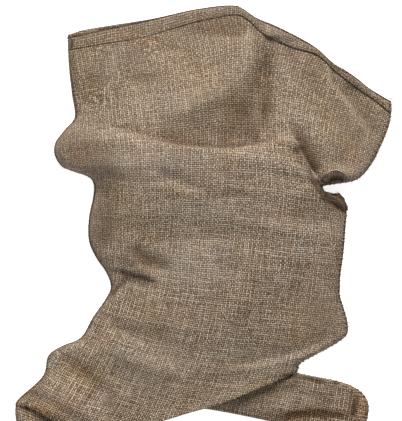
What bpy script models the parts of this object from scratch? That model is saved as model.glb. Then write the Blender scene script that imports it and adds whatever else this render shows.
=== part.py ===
# An empty jute sack, 600 mm wide, slumped on its back on a flat surface. Metres, +Z up.
# +Y runs from the two bottom corners to the mouth, and +X is to the right of someone who looks down
# on the front panel. The origin is on the surface, under the middle of the sack.
#
# The sack is one length of cloth, folded across at the bottom and closed up both sides. It is lofted
# here as rings: each ring crosses the front from the left seam to the right seam and comes back along
# the back panel, which lies flat. The front droops over the bottom as one deep fold.

import math

import bmesh
import bpy
from mathutils import Vector
from mathutils.geometry import interpolate_bezier

MM = 0.001

# Driving dimensions, in millimetres
CLOTH_THICKNESS = 2.0
HEM_THICKNESS = 3.2
HEM_STEP = 1.2  # how far the hem stands proud of the cloth below it
BACK_LIP = 5.0  # the back edge of the mouth shows this far past the front edge
EDGE_HEIGHT = 8.0  # the front's height where it turns over into the back
EDGE_ROLL = 4.0  # how far the turned edge stands out past the seam
FRONT_LEAST = 8.0  # the front's outer face never comes lower than this
FRONT_SOFTEN = 5.0  # run over which a fold flattens out as it nears that height
SEAM_FADE = 0.07  # share of a section over which folds die away into each seam

# How finely the loft is divided
MIDDLE_COLUMNS = 25
EDGE_COLUMNS = (0.0, 0.011, 0.026)  # places of the first columns in from each seam
SPAN_STEP = 22.0
EDGE_POINTS = 2

# Sections across the sack, from the mouth to the bottom fold. left and right are the two seams. bow is
# how far the middle of the section lies towards the mouth from the straight line between the seams,
# peak is where along the section it is greatest, and narrow tightens that arch. crown is the height
# of the front there, and full rounds the section out towards the seams as it falls.
SECTION_FIELDS = ("left_x", "left_y", "right_x", "right_y", "bow", "peak", "narrow", "crown", "full")
SECTIONS = (
    (-238, 335, 329, 224, 106, 0.53, 1.0, 22, 0.50),  # mouth
    (-238, 316, 329, 205, 100, 0.53, 1.0, 23, 0.50),  # lower edge of the hem
    (-236, 281, 324, 179, 88, 0.53, 1.0, 30, 0.48),
    (-231, 235, 312, 147, 67, 0.52, 1.0, 40, 0.46),
    (-226, 193, 294, 110, 48, 0.50, 1.0, 50, 0.42),
    (-243, 170, 268, 82, 32, 0.50, 1.0, 60, 0.36),
    (-260, 147, 225, 73, 23, 0.50, 1.0, 70, 0.32),  # the left lobe and the right tuck
    (-262, 126, 209, 70, 18, 0.50, 1.0, 71, 0.32),
    (-250, 105, 211, 61, 16, 0.50, 1.0, 70, 0.34),
    (-231, 96, 229, 52, 9, 0.50, 1.0, 68, 0.36),
    (-201, 85, 245, 41, 0, 0.50, 1.0, 66, 0.36),
    (-192, 70, 250, 26, 0, 0.50, 1.0, 64, 0.36),
    (-194, 47, 248, 1, 0, 0.50, 1.0, 62, 0.36),
    (-201, 13, 246, -26, 0, 0.50, 1.0, 60, 0.34),  # belly
    (-201, -27, 243, -57, 0, 0.50, 1.0, 57, 0.34),
    (-187, -59, 239, -85, 0, 0.50, 1.0, 53, 0.36),
    (-171, -82, 238, -105, -2, 0.50, 1.0, 50, 0.38),
    (-162, -108, 238, -124, -5, 0.50, 1.0, 48, 0.38),  # waist
    (-172, -131, 245, -147, -12, 0.50, 1.0, 49, 0.36),
    (-194, -163, 252, -175, -18, 0.50, 1.0, 51, 0.36),
    (-215, -198, 248, -196, -25, 0.50, 1.0, 51, 0.36),
    (-250, -214, 222, -216, -39, 0.50, 1.0, 49, 0.36),
    (-273, -231, 190, -233, -49, 0.50, 1.0, 45, 0.38),
    (-283, -267, 172, -247, -63, 0.50, 1.0, 40, 0.38),
    (-326, -307, 167, -254, -65, 0.50, 1.0, 33, 0.40),  # edge of the deep fold
    (-331, -321, 169, -258, -12, 0.50, 1.0, 19, 0.40),  # the cloth tucked back beneath it
    (-331, -335, 194, -263, -8, 0.50, 1.0, 18, 0.40),  # the feet come forward again
    (-329, -351, 231, -275, 1, 0.50, 1.5, 18, 0.38),
    (-327, -367, 262, -286, 11, 0.50, 2.0, 18, 0.36),
    (-322, -379, 282, -302, 23, 0.50, 2.0, 16, 0.36),
    (-310, -388, 289, -325, 37, 0.50, 2.0, 13, 0.38),
    (-292, -392, 282, -360, 55, 0.50, 2.0, 8, 0.40),  # bottom fold of the cloth
)
HEM_SECTION = 1
BACK_SECTION = 20  # from here down the back takes even steps, with no deep fold
FOLD_SECTION = 24  # sections before this one are the upper layer, which carries the folds below

# Ridges (height above 0) and hollows (below 0) of the front, each along a curve from start by middle
# to end, with its half width on the side towards the mouth and on the side towards the bottom.
FOLD_FIELDS = ("start_x", "start_y", "middle_x", "middle_y", "end_x", "end_y",
               "half_up", "half_down", "height")
FOLDS = {
    "main_ridge": (-250, 147, -60, 112, 155, 147, 33, 81, 20),
    "hem_ridge": (63, 362, 77, 235, -134, 189, 32, 26, 24),
    "hollow": (106, 312, 109, 214, -14, 161, 37, 32, -26),
    "upper_hollow": (-176, 210, -95, 182, 19, 172, 21, 28, -8),
    "tuck_hollow": (165, 172, 194, 122, 229, 62, 30, 18, -40),
    "tuck_ridge": (141, 150, 165, 91, 218, 34, 18, 28, 12),
    "flap_ridge": (224, 295, 236, 238, 257, 98, 25, 25, 9),
    "shoulder_ridge": (155, 150, 176, 200, 169, 256, 25, 25, 10),
    "lobe_shade": (-187, 105, -169, 84, -172, 20, 18, 18, -12),
    "belly_wrinkle": (-81, 108, -56, 87, -21, 77, 14, 14, -7),
    "waist_crease_upper": (-151, -64, -104, -43, -63, -73, 16, 16, -12),
    "waist_crease_lower": (-169, -106, -134, -101, -81, -78, 16, 19, -16),
    "leg_hollow": (-232, -223, -201, -240, -127, -311, 19, 19, -7),
    "hip_ridge": (49, -231, 143, -230, 231, -196, 19, 19, 9),
    "hip_valley": (63, -196, 151, -198, 222, -166, 19, 19, -7),
}
FOLD_POINTS = 9
FOLD_END_RUN = 0.18  # share of a fold's length over which each end fades in


def smooth(low, high, value):
    share = min(max((value - low) / (high - low), 0.0), 1.0)
    return share * share * (3.0 - 2.0 * share)


def through(before, first, last, after, share):
    """Catmull-Rom value between first and last."""
    return 0.5 * (
        2.0 * first
        + (last - before) * share
        + (2.0 * before - 5.0 * first + 4.0 * last - after) * share**2
        + (3.0 * (first - last) + after - before) * share**3
    )


def section_at(position):
    """The section at a position counted in rows of the table, as a dictionary."""
    index = min(int(position), len(SECTIONS) - 2)
    rows = [SECTIONS[min(max(index + step, 0), len(SECTIONS) - 1)] for step in (-1, 0, 1, 2)]
    return {
        field: through(*(row[column] for row in rows), position - index)
        for column, field in enumerate(SECTION_FIELDS)
    }


def loft_positions():
    """Positions of the rings: each span between two sections is divided by its length."""
    positions = []
    for index in range(len(SECTIONS) - 1):
        here, there = section_at(index), section_at(index + 1)
        span = max(
            (plan_point(there, across) - plan_point(here, across)).length for across in (0.0, 0.5, 1.0)
        )
        steps = max(1, round(span / SPAN_STEP))
        positions += [index + step / steps for step in range(steps)]
    positions.insert(HEM_SECTION + 1, HEM_SECTION + 0.1)
    return positions + [len(SECTIONS) - 1]


def column_places():
    """Shares of a section's width: close together at the seams, where the cloth turns over."""
    inner = EDGE_COLUMNS[-1]
    middle = [inner + (1.0 - 2.0 * inner) * step / MIDDLE_COLUMNS for step in range(1, MIDDLE_COLUMNS)]
    return [*EDGE_COLUMNS, *middle, *(1.0 - place for place in reversed(EDGE_COLUMNS))]


def plan_point(section, across):
    """Where a point of the section lies in plan; across is 0 at the left seam and 1 at the right."""
    peak = section["peak"]
    warped = 0.5 * across / peak if across < peak else 1.0 - 0.5 * (1.0 - across) / (1.0 - peak)
    arch = 0.5 * (math.sin(math.pi * warped) + 1.0 - abs(2.0 * warped - 1.0))
    left = Vector((section["left_x"], section["left_y"]))
    right = Vector((section["right_x"], section["right_y"]))
    return left.lerp(right, across) + Vector((0.0, section["bow"] * max(arch, 0.0) ** section["narrow"]))


def back_bow(section, position):
    """Bow of the back panel: its middle runs evenly from BACK_SECTION to the bottom fold."""
    if position <= BACK_SECTION:
        return section["bow"]
    start, end = (plan_point(section_at(place), 0.5).y for place in (BACK_SECTION, len(SECTIONS) - 1))
    share = (position - BACK_SECTION) / (len(SECTIONS) - 1 - BACK_SECTION)
    return start + (end - start) * share - 0.5 * (section["left_y"] + section["right_y"])


def fold_curve(fold):
    """Points along a fold: the quadratic curve from start to end that is drawn towards middle."""
    start, middle, end = (
        Vector((fold[place + "_x"], fold[place + "_y"], 0.0)) for place in ("start", "middle", "end")
    )
    handles = start.lerp(middle, 2 / 3), end.lerp(middle, 2 / 3)
    return [point.xy for point in interpolate_bezier(start, *handles, end, FOLD_POINTS)]


def fold_height(fold, curve, point):
    """Height that one fold adds at a point in plan: a rounded profile across its curve."""
    best_distance, best_along, best_side = math.inf, 0.0, 0.0
    for index, (here, there) in enumerate(zip(curve, curve[1:])):
        run = there - here
        share = min(max((point - here).dot(run) / run.length_squared, 0.0), 1.0)
        offset = point - here.lerp(there, share)
        if offset.length < best_distance:
            best_distance, best_side = offset.length, offset.y
            best_along = (index + share) / (len(curve) - 1)
    half = fold["half_up"] if best_side > 0.0 else fold["half_down"]
    ends = smooth(0.0, FOLD_END_RUN, best_along) * smooth(0.0, FOLD_END_RUN, 1.0 - best_along)
    reach = 0.35 + 0.65 * ends
    return fold["height"] * reach * math.exp(-((best_distance / half) ** 2))


def front_height(section, position, across, point, folds):
    """Height of the front's outer face."""
    dome = max(4.0 * across * (1.0 - across), 0.0) ** section["full"]
    height = EDGE_HEIGHT + (section["crown"] - EDGE_HEIGHT) * dome
    fade = smooth(0.0, SEAM_FADE, across) * smooth(0.0, SEAM_FADE, 1.0 - across)
    upper = 1.0 - smooth(FOLD_SECTION - 1.5, FOLD_SECTION, position)
    if fade > 0.0 and upper > 0.0:
        height += fade * upper * sum(fold_height(fold, curve, point) for fold, curve in folds)
    if position < HEM_SECTION + 0.05:
        height += HEM_STEP
    above = (height - FRONT_LEAST) / FRONT_SOFTEN
    return FRONT_LEAST + FRONT_SOFTEN * math.log1p(math.exp(above))


def ring(section, position, places, folds):
    """One ring: the front from left to right, the right edge, the back to the left, the left edge."""
    plan = [plan_point(section, across) for across in places]
    lip = BACK_LIP * (1.0 - smooth(0.0, 2.0, position))
    front = [
        Vector((*point, front_height(section, position, across, point, folds)))
        for point, across in zip(plan, places)
    ]
    under = {**section, "bow": back_bow(section, position)}
    back = [Vector((*plan_point(under, across), 0.0)) + Vector((0.0, lip, 0.0)) for across in places]
    outward = (plan[-1] - plan[0]).normalized()
    right_edge = turned_edge(front[-1], back[-1], outward)
    left_edge = turned_edge(back[0], front[0], -outward)
    return front + right_edge + back[::-1] + left_edge


def turned_edge(first, last, outward):
    """Points round the half turn between the front and the back."""
    points = []
    for step in range(1, EDGE_POINTS + 1):
        turn = math.pi * step / (EDGE_POINTS + 1)
        share = 0.5 - 0.5 * math.cos(turn)
        point = first.lerp(last, share)
        point.xy += outward * EDGE_ROLL * math.sin(turn)
        points.append(point)
    return points


def cloth_material():
    material = bpy.data.materials.new("jute_hessian")
    material.use_nodes = True
    shader = material.node_tree.nodes["Principled BSDF"]
    shader.inputs["Base Color"].default_value = (0.246, 0.190, 0.133, 1.0)
    shader.inputs["Roughness"].default_value = 0.95
    shader.inputs["Metallic"].default_value = 0.0
    return material


def build_sack():
    folds = []
    for numbers in FOLDS.values():
        fold = dict(zip(FOLD_FIELDS, numbers))
        folds.append((fold, fold_curve(fold)))
    places = column_places()
    positions = loft_positions()

    mesh = bmesh.new()
    rings = [
        [mesh.verts.new(point * MM) for point in ring(section_at(position), position, places, folds)]
        for position in positions
    ]
    count = len(rings[0])
    for upper, lower in zip(rings, rings[1:]):
        for index in range(count):
            after = (index + 1) % count
            mesh.faces.new((upper[index], lower[index], lower[after], upper[after]))

    # The bottom fold joins the last ring's front to its back.
    columns = len(places)
    last = rings[-1]
    fold_line = []
    for column in range(columns):
        front, back = last[column], last[2 * columns + EDGE_POINTS - 1 - column]
        middle = front.co.lerp(back.co, 0.5)
        middle.y -= EDGE_ROLL * MM
        fold_line.append(mesh.verts.new(middle))
    for column in range(columns - 1):
        front = last[column], last[column + 1]
        back = last[2 * columns + EDGE_POINTS - 1 - column], last[2 * columns + EDGE_POINTS - 2 - column]
        mesh.faces.new((front[0], fold_line[column], fold_line[column + 1], front[1]))
        mesh.faces.new((fold_line[column], back[0], back[1], fold_line[column + 1]))
    right = last[columns - 1 : columns + EDGE_POINTS + 1]
    left = [*last[2 * columns + EDGE_POINTS - 1 :], last[0]]
    mesh.faces.new((*right, fold_line[-1]))
    mesh.faces.new((*left, fold_line[0]))
    bmesh.ops.triangulate(mesh, faces=[face for face in mesh.faces if len(face.verts) > 4])
    bmesh.ops.recalc_face_normals(mesh, faces=mesh.faces)

    data = bpy.data.meshes.new("sack_cloth")
    mesh.to_mesh(data)
    mesh.free()
    data.materials.append(cloth_material())
    data.shade_smooth()
    sack = bpy.data.objects.new("sack_cloth", data)
    bpy.context.collection.objects.link(sack)

    hem = sack.vertex_groups.new(name="hem")
    hem_rings = sum(position <= HEM_SECTION for position in positions)
    hem.add(list(range(count * hem_rings)), 1.0, "REPLACE")
    solidify = sack.modifiers.new("cloth_thickness", "SOLIDIFY")
    solidify.thickness = HEM_THICKNESS * MM
    solidify.offset = -1.0
    solidify.vertex_group = "hem"
    solidify.thickness_vertex_group = CLOTH_THICKNESS / HEM_THICKNESS
    centre_on_origin(sack)
    return sack


def centre_on_origin(sack):
    """Moves the mesh so that the middle of its footprint is the origin."""
    points = [vertex.co for vertex in sack.data.vertices]
    middle = Vector([
        -0.5 * (min(point[axis] for point in points) + max(point[axis] for point in points))
        for axis in (0, 1)
    ] + [0.0])
    for point in points:
        point += middle


for thing in list(bpy.data.objects):
    bpy.data.objects.remove(thing, do_unlink=True)
build_sack()
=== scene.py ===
# Dresses the jute sack: cloth with its folds and hem, side seams, hem stitches, thread ends and fuzz.
import math

import bpy
import numpy as np
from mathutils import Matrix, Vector


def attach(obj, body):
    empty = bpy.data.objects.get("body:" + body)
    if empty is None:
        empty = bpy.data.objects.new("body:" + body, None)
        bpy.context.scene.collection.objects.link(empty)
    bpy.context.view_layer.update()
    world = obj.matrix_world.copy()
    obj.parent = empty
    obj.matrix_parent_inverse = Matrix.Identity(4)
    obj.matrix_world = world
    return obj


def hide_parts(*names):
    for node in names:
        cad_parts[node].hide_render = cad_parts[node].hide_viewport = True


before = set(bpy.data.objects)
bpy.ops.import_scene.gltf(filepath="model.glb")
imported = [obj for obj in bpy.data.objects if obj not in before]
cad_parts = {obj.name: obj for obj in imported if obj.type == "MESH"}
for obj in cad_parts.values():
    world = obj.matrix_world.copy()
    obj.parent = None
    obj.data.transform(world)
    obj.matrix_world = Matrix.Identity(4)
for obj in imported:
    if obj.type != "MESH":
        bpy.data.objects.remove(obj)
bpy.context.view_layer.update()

mm = 0.001

# Shape of the sack, in millimetres. frameShift moves it to the middle of its footprint.
sack = {
    "frameShift": (1.1, 4.4),
    "flatWidth": 600.0,
    "flatLength": 1840.0,  # front and back in one length, with the hems
    "thickness": 1.3,
    "hemThickness": 3.2,
    "hemUndercut": 1.0,  # how far the cloth under the hem's edge lies back, and how much lower
    "hemSink": 0.3,
    "edgeHeight": 5.5,
    "edgeRoll": 3.0,
    "frontLeast": 7.0,  # the front never lies lower, and flattens out over frontSoften above it
    "frontSoften": 3.0,
    "seamFade": 0.010,
    "mouthFade": 2.2,  # sections over which the mouth's own line dies away
    "lineSoftness": 0.010,
    "backSection": 20,
    "foldSection": 24,
    "feetFrom": (24.1, 24.7),  # sections between which the feet's folds take over
    "backSmoothing": 0.02,  # in sections, where the front has its step below the hem
    "bodyRows": 186,
    "frontColumns": 131,  # odd, and every second one has a column of the back under it
    "seamCrowding": 0.28,  # how strongly the columns draw together at the seams
    "edgePoints": 3,
}

sectionFields = ("leftX", "leftY", "rightX", "rightY", "bow", "peak", "narrow", "crown", "full")
sections = (
    (-238, 335, 329, 224, 106, 0.53, 1.0, 22, 0.50),  # mouth
    (-238, 316, 329, 205, 100, 0.53, 1.0, 23, 0.50),  # lower edge of the hem
    (-236, 281, 324, 179, 88, 0.53, 1.0, 30, 0.48),
    (-231, 235, 312, 147, 67, 0.52, 1.0, 40, 0.46),
    (-226, 193, 294, 110, 48, 0.50, 1.0, 50, 0.42),
    (-243, 170, 268, 82, 32, 0.50, 1.0, 60, 0.36),
    (-260, 147, 225, 73, 23, 0.50, 1.0, 70, 0.32),  # the left lobe and the right tuck
    (-262, 126, 209, 70, 18, 0.50, 1.0, 71, 0.32),
    (-250, 105, 211, 61, 16, 0.50, 1.0, 70, 0.34),
    (-231, 96, 229, 52, 9, 0.50, 1.0, 68, 0.36),
    (-201, 85, 245, 41, 0, 0.50, 1.0, 66, 0.36),
    (-192, 70, 250, 26, 0, 0.50, 1.0, 64, 0.36),
    (-194, 47, 248, 1, 0, 0.50, 1.0, 62, 0.36),
    (-201, 13, 246, -26, 0, 0.50, 1.0, 60, 0.34),  # belly
    (-201, -27, 243, -57, 0, 0.50, 1.0, 57, 0.34),
    (-187, -59, 239, -85, 0, 0.50, 1.0, 53, 0.36),
    (-171, -82, 238, -105, -2, 0.50, 1.0, 50, 0.38),
    (-162, -108, 238, -124, -5, 0.50, 1.0, 48, 0.38),  # waist
    (-172, -131, 245, -147, -12, 0.50, 1.0, 49, 0.36),
    (-194, -163, 252, -175, -18, 0.50, 1.0, 51, 0.36),
    (-215, -198, 248, -196, -25, 0.50, 1.0, 49, 0.36),
    (-250, -214, 219, -216, -39, 0.50, 1.0, 45, 0.36),
    (-273, -231, 189, -232, -49, 0.50, 1.0, 40, 0.38),
    (-283, -267, 168, -244, -63, 0.50, 1.0, 38.5, 0.38),
    (-326, -307, 163, -257, -65, 0.50, 1.0, 38, 0.40),  # edge of the deep fold
    (-331, -321, 163, -261, -12, 0.50, 1.0, 22, 0.40),  # the cloth tucked back beneath it
    (-331, -335, 184, -266, -8, 0.50, 1.0, 21, 0.40),  # the feet come forward again
    (-329, -351, 231, -275, 1, 0.50, 1.5, 18, 0.38),
    (-327, -367, 262, -286, 11, 0.50, 2.0, 18, 0.36),
    (-322, -379, 282, -302, 23, 0.50, 2.0, 16, 0.36),
    (-310, -388, 289, -325, 37, 0.50, 2.0, 13, 0.38),
    (-292, -392, 282, -360, 55, 0.50, 2.0, 8, 0.40),  # bottom fold of the cloth
)
# stretches of the table that get more rows than their length asks for: from, to, how many times
denserRows = ((4.0, 10.0, 1.5), (22.5, 27.5, 1.6))

# How far the mouth's edge, the hem's lower edge and the back's edge lie from the plain arch, by share
# of the way across the mouth.
mouthLine = (
    (0, -4), (0.06, -6.5), (0.1, -7), (0.19, -9), (0.24, -9), (0.29, -7), (0.34, -4), (0.38, -1),
    (0.45, 2), (0.5, 3.5), (0.53, 2), (0.555, -2), (0.575, -7), (0.6, -8), (0.64, -6), (0.7, -4.5),
    (0.765, -2), (0.785, -3), (0.805, -10), (0.83, -15), (0.86, -10), (0.9, -8.5), (0.935, -11),
    (0.98, -9), (1, -5),
)
hemLine = (
    (0, -6), (0.1, -10), (0.19, -13), (0.24, -12), (0.29, -9), (0.34, -4), (0.38, 1), (0.42, 5),
    (0.47, 9.5), (0.5, 13), (0.545, 12), (0.565, 8), (0.58, 1), (0.6, -5), (0.64, -5), (0.69, -2),
    (0.735, 5), (0.765, 11), (0.785, 11), (0.81, 4), (0.83, 2), (0.86, -1), (0.9, -3), (0.96, -3),
    (1, -7),
)
backLip = (
    (0, 7), (0.03, 11), (0.06, 11), (0.12, 9), (0.2, 7.5), (0.28, 5), (0.4, 4), (0.56, 5), (0.62, 7),
    (0.72, 7), (0.78, 5), (0.83, 9), (0.88, 6), (0.93, 4), (0.97, 5), (1, 3),
)
# how far the edge of the deep fold lies from its arch, by share of the way across
foldEdge = (
    (0, 0), (0.04, -4), (0.1, -15), (0.16, -22), (0.24, -16), (0.34, -4), (0.42, 2), (0.6, 5), (0.76, 1),
    (0.85, 1), (0.95, -2), (1, -2),
)
# height of the rolled hem over its depth, from the mouth to its lower edge
hemProfile = (
    (0, -1.6), (0.05, 0.3), (0.15, 1.9), (0.3, 2.7), (0.5, 2.9), (0.7, 2.8), (0.85, 2.6), (0.95, 2.3),
    (1, 1.6),
)
hemStep = len(hemProfile) - 1  # the row at the hem's lower edge
# How high the hem's roll stands along the mouth, and how much painted shadow lies along its lower edge: a
# first value, then changes from one place to another. It stands more where the mouth sags, and lies flat at
# the corners.
hemStand = (0.25, ((0.25, 0.42, 0.45), (0.50, 0.62, 0.80), (0.90, 1.00, -0.35)))
hemShade = (0.15, ((0.25, 0.42, 0.95), (0.66, 0.72, -0.50), (0.80, 0.88, 0.50)))

# Ridges and hollows: a curve from start by middle to end, half widths towards the mouth and towards
# the bottom, and height. The last two may be left out: how its profile falls off (2 is a soft bell,
# less is a sharper crease), and how far the cloth leans over towards the mouth there.
foldFields = (
    "startX", "startY", "middleX", "middleY", "endX", "endY", "halfUp", "halfDown", "height", "power", "lean",
)
foldDefaults = {"power": 2, "lean": 0}
# how blunt every crest is, the height left at a fold's ends, and the share of it that fades out
foldProfile = {"blunt": 0.8, "atEnds": 0.35, "endReach": 0.2}
folds = {
    "mainRidge": (-257, 158, -60, 108, 155, 140, 18, 141, 6, 2, 2),
    "crestEdge": (-113, 150, -7, 101, 158, 150, 5, 106, 5, 1.5, 6),
    "hemRidge": (84, 358, 106, 224, -109, 182, 67, 23, 14, 1.8),
    "hollowLeft": (109, 291, 92, 231, 60, 179, 18, 16, -8),
    "hollowRight": (114, 295, 113, 235, 109, 182, 16, 7, -8, 1.8),
    "hollowLow": (-95, 154, 14, 122, 106, 145, 81, 7, -16, 1.5),
    "hollowLip": (134, 309, 134, 238, 132, 161, 9, 19, 5, 1.8),
    "tuckHollow": (151, 133, 165, 105, 194, 77, 18, 9, -14),
    "tuckEdge": (153, 154, 172, 106, 208, 52, 4, 25, 9, 1.6, 5),
    "flapRidge": (218, 253, 250, 214, 289, 154, 7, 18, 9, 1.7),
    "flapHollow": (239, 256, 285, 210, 317, 147, 14, 14, -8),
    "notchArch": (208, 80, 227, 105, 257, 84, 9, 4, 6, 1.6),
    "shoulderRidge": (151, 150, 176, 200, 169, 256, 21, 25, 8),
    "puckerCrease": (151, 311, 158, 288, 157, 253, 4, 5, -3, 1.5),
    "puckerRight": (215, 295, 224, 274, 222, 235, 4, 7, 4, 1.5),
    "lobeRidge": (-253, 168, -218, 175, -162, 161, 16, 16, 4),
    "lobeUnder": (-246, 105, -176, 119, -148, 62, 12, 21, -2),
    "leftWall": (-176, 77, -162, 20, -180, -54, 25, 21, -14),
    "bellyWrinkle": (-81, 84, -49, 75, -11, 59, 12, 11, -6, 1.7),
    "bellyWrinkleLip": (-95, 64, -49, 55, 0, 45, 7, 11, 3, 1.8),
    "bellyHollow": (-162, -1, -60, -29, 102, -1, 42, 18, -5),
    "bellyCrease": (32, 17, 106, -8, 239, -18, 18, 14, 3, 1.8),
    "waistCreaseUpper": (-134, -40, -95, -68, -56, -78, 14, 12, -9),
    "waistUpperLip": (-148, -82, -102, -89, -49, -85, 7, 5, 1.5, 1.8),
    "waistCreaseLower": (-151, -80, -116, -85, -83, -98, 2, 19, -8, 1.6, 1),
    "legUpperHollow": (-172, -163, -130, -191, -49, -205, 16, 12, -5),
    "legUpperRidge": (-190, -194, -134, -240, -25, -260, 21, 21, 7, 1.8),
    "legHollow": (-257, -226, -211, -247, -162, -311, 14, 14, -6),
    "legRidge": (-292, -282, -236, -304, -187, -349, 23, 12, 8),
    "hipRidge": (18, -256, 141, -253, 222, -212, 6, 25, 4.5, 1.6, 1),
    "hipValley": (25, -240, 151, -237, 243, -184, 35, 7, -5, 1.8),
    "notchHollow": (215, 75, 229, 91, 248, 77, 3, 7, -13),
    "puckerGroove": (218, 295, 229, 274, 229, 238, 4, 5, -5, 1.5),
    "bellyFall": (-67, -75, 81, -92, 243, -75, 60, 92, 7),
    "flapSoft": (169, 189, 208, 154, 246, 119, 28, 28, 5),
    "underCrest": (-243, 77, -95, 34, 56, 62, 63, 70, 9),
    "hipLift": (21, -311, 109, -286, 222, -216, 16, 7, 4),
    "waistBright": (-141, -110, 0, -149, 141, -114, 53, 70, 7),
    "hipLow": (39, -223, 143, -219, 232, -180, 74, 53, -7),
    "notchSeam": (180, 89, 206, 55, 239, 24, 9, 2, -9, 1.5),
    "hollowDeep": (21, 133, 63, 129, 109, 149, 70, 7, -11, 1.5),
    "pinchRidge": (213, 288, 218, 265, 224, 237, 4, 4, 2),
    "bodyWrinkle": (18, 40, 49, 55, 77, 48, 5, 9, -2.5, 1.8),
}
footFolds = {
    "seamCrease": (256, -292, 266, -312, 258, -338, 5, 4, -9, 1.8),
    "seamGather": (280, -304, 282, -320, 274, -346, 5, 6, 4, 1.6),
    "bottomCrease": (146, -344, 196, -328, 258, -342, 6, 4, -9, 1.6),
    "bottomRoll": (150, -354, 200, -342, 262, -354, 7, 9, 4),
    "upperDent": (180, -276, 220, -280, 250, -300, 6, 7, -3),
    "middleDent": (160, -300, 205, -300, 240, -312, 8, 8, -3),
    "leftRoll": (-318, -346, -296, -352, -250, -368, 8, 8, 5),
}
# painted shade: dark lines in creases and hollows, and shadows under overhangs and fold edges, with a
# strength in place of the height
paintedShadeLines = {
    "hollowTop": (92, 348, 102, 312, 109, 274, 8.8, 8.8, 0.3),
    "khakiLine": (-148, 297, -120, 304, -92, 307, 2.1, 2.1, 1),
    "notchWedge": (180, 92, 192, 70, 213, 45, 3.5, 3.9, 0.8),
    "footTop": (127, -258, 169, -265, 222, -279, 2.6, 5.3, 1.6),
    "footCorner": (102, -295, 141, -281, 176, -270, 3.5, 8.8, 0.9),
    "notchTuft": (213, 55, 234, 47, 248, 27, 7, 10.6, 1.8),
    "footSeam": (269, -298, 271, -318, 260, -337, 4.6, 3.5, 1.7),
    "footBottom": (127, -344, 190, -321, 260, -339, 6, 5.3, 1.8),
    "footUnder": (81, -312, 120, -297, 169, -277, 4.4, 10.6, 0.9),
    "notchSeam": (183, 91, 206, 55, 238, 26, 5.3, 8.8, 1.5),
    "notchLens": (218, 71, 232, 96, 255, 78, 2.3, 7.9, 1.6, 3),
    "waistLine": (-150, -80, -116, -85, -84, -98, 2.1, 14.1, 0.6, 3),
    "waistFlap": (-132, -89, -150, -105, -165, -126, 3.2, 3.2, 2.6),
    "hollowStripe": (84, 263, 77, 224, 56, 182, 12.3, 14.1, 0.25),
    "hollowRight": (109, 263, 107, 228, 104, 182, 12.3, 8.8, 0.3),
    "hollowEnd": (-95, 163, -42, 154, 4, 140, 14.1, 5.3, 0.5),
    "leftFoot": (-338, -319, -285, -318, -239, -344, 2.1, 7, 1.2),
    "crestTop": (-77, 149, 4, 129, 102, 140, 10.6, 1.8, 0.4),
    "tuck": (150, 172, 172, 129, 199, 84, 21.1, 2.8, 1.35, 4),
}

# slight unevenness of slack cloth: waves of mixed direction and length
ripples = {"height": 0.9 / 260.0, "waves": 14, "shortest": 28, "longest": 110, "seed": 11}


def smoothStep(low, high, value):
    share = np.clip((value - low) / (high - low), 0.0, 1.0)
    return share * share * (3.0 - 2.0 * share)


def endFade(reach, share):
    # 1 in the middle, and down to 0 at both ends
    return smoothStep(0.0, reach, share) * smoothStep(0.0, reach, 1.0 - share)


def stepLine(line, places):
    first, changes = line
    return first + sum(change * smoothStep(low, high, places) for low, high, change in changes)


def lengths(vectors):
    return np.linalg.norm(vectors, axis=-1)


def unit(vectors):
    return vectors / np.maximum(lengths(vectors), 1e-9)[..., None]


def lengthsAlong(line):
    return np.concatenate([[0.0], np.cumsum(lengths(np.diff(line, axis=0)))])


def sectionValues(positions):
    # a smooth curve through the table's rows
    table = np.array(sections, float)
    index = np.clip(positions.astype(int), 0, len(table) - 2)
    share = (positions - index)[..., None]
    before, first, last, after = (table[np.clip(index + step, 0, len(table) - 1)] for step in (-1, 0, 1, 2))
    values = 0.5 * (
        2.0 * first
        + (last - before) * share
        + (2.0 * before - 5.0 * first + 4.0 * last - after) * share**2
        + (3.0 * (first - last) + after - before) * share**3
    )
    return {field: values[..., column] for column, field in enumerate(sectionFields)}


def softLine(line, across):
    # a line through its points with the corners rounded
    places, values = np.array(line).T
    dense = np.linspace(-0.1, 1.1, 601)
    reach = 20
    bell = np.exp(-0.5 * (np.arange(-reach, reach + 1) * (dense[1] - dense[0]) / sack["lineSoftness"]) ** 2)
    padded = np.pad(np.interp(dense, places, values), reach, mode="edge")
    return np.interp(across, dense, np.convolve(padded, bell / bell.sum(), mode="valid"))


def planPoints(values, positions, across, bow=None):
    # the front's own bow and lines are used where no other bow is given
    peak = values["peak"]
    warped = np.where(across < peak, 0.5 * across / peak, 1.0 - 0.5 * (1.0 - across) / (1.0 - peak))
    arch = 0.5 * (np.sin(np.pi * warped) + 1.0 - np.abs(2.0 * warped - 1.0))
    arch = np.clip(arch, 0.0, 1.0) ** values["narrow"]
    x = values["leftX"] + (values["rightX"] - values["leftX"]) * across
    y = values["leftY"] + (values["rightY"] - values["leftY"]) * across
    if bow is None:
        bow = values["bow"]
        share = np.clip(positions, 0.0, 1.0)
        below = np.exp(-((np.maximum(positions - 1.0, 0.0) / sack["mouthFade"]) ** 2))
        detail = (softLine(mouthLine, across) * (1.0 - share) + softLine(hemLine, across) * share) * below
        detail += softLine(foldEdge, across) * np.exp(-((positions - sack["foldSection"]) ** 2))
    else:
        detail = softLine(mouthLine, across) * np.exp(-((positions / sack["mouthFade"]) ** 2))
    return x, y + bow * arch + detail


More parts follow.
